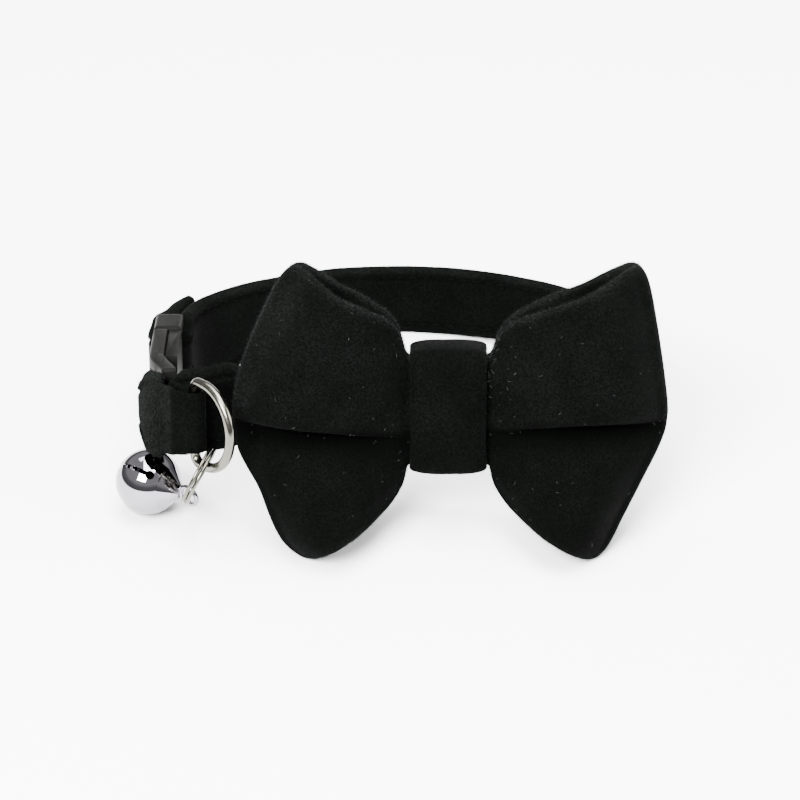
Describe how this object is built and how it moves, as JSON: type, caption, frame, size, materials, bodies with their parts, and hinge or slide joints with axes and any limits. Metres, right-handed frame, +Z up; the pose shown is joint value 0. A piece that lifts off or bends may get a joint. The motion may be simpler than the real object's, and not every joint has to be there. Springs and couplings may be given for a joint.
{
  "type": "pet bow tie collar",
  "caption": "Buckled velvet pet collar with a padded velvet bow tie at the front, and a round jingle bell hung from a D-ring beside its side-release buckle.",
  "frame": {"origin": "centre of the bounding box in plan, on the surface that the collar stands on", "axes": "+X to the right along the bow, +Y to the back of the neck, +Z up; the collar leans back as it rests on the bow's lower corners and the back of its strap"},
  "size_m": [0.1035, 0.0858, 0.0507],
  "materials": {
    "velvet": "short black velvet pile",
    "buckle_plastic": "glossy black moulded plastic",
    "nickel": "bright nickel plate",
    "bell_chrome": "mirror chrome plate"
  },
  "bodies": {
    "root": {"strap": "velvet", "buckle_socket": "buckle_plastic", "buckle_plug": "buckle_plastic", "ring_keeper": "velvet", "d_ring": "nickel", "split_ring": "nickel", "bell": "bell_chrome", "bell_pellet": "nickel", "bow": "velvet", "knot_band": "velvet"}
  },
  "joints": []
}
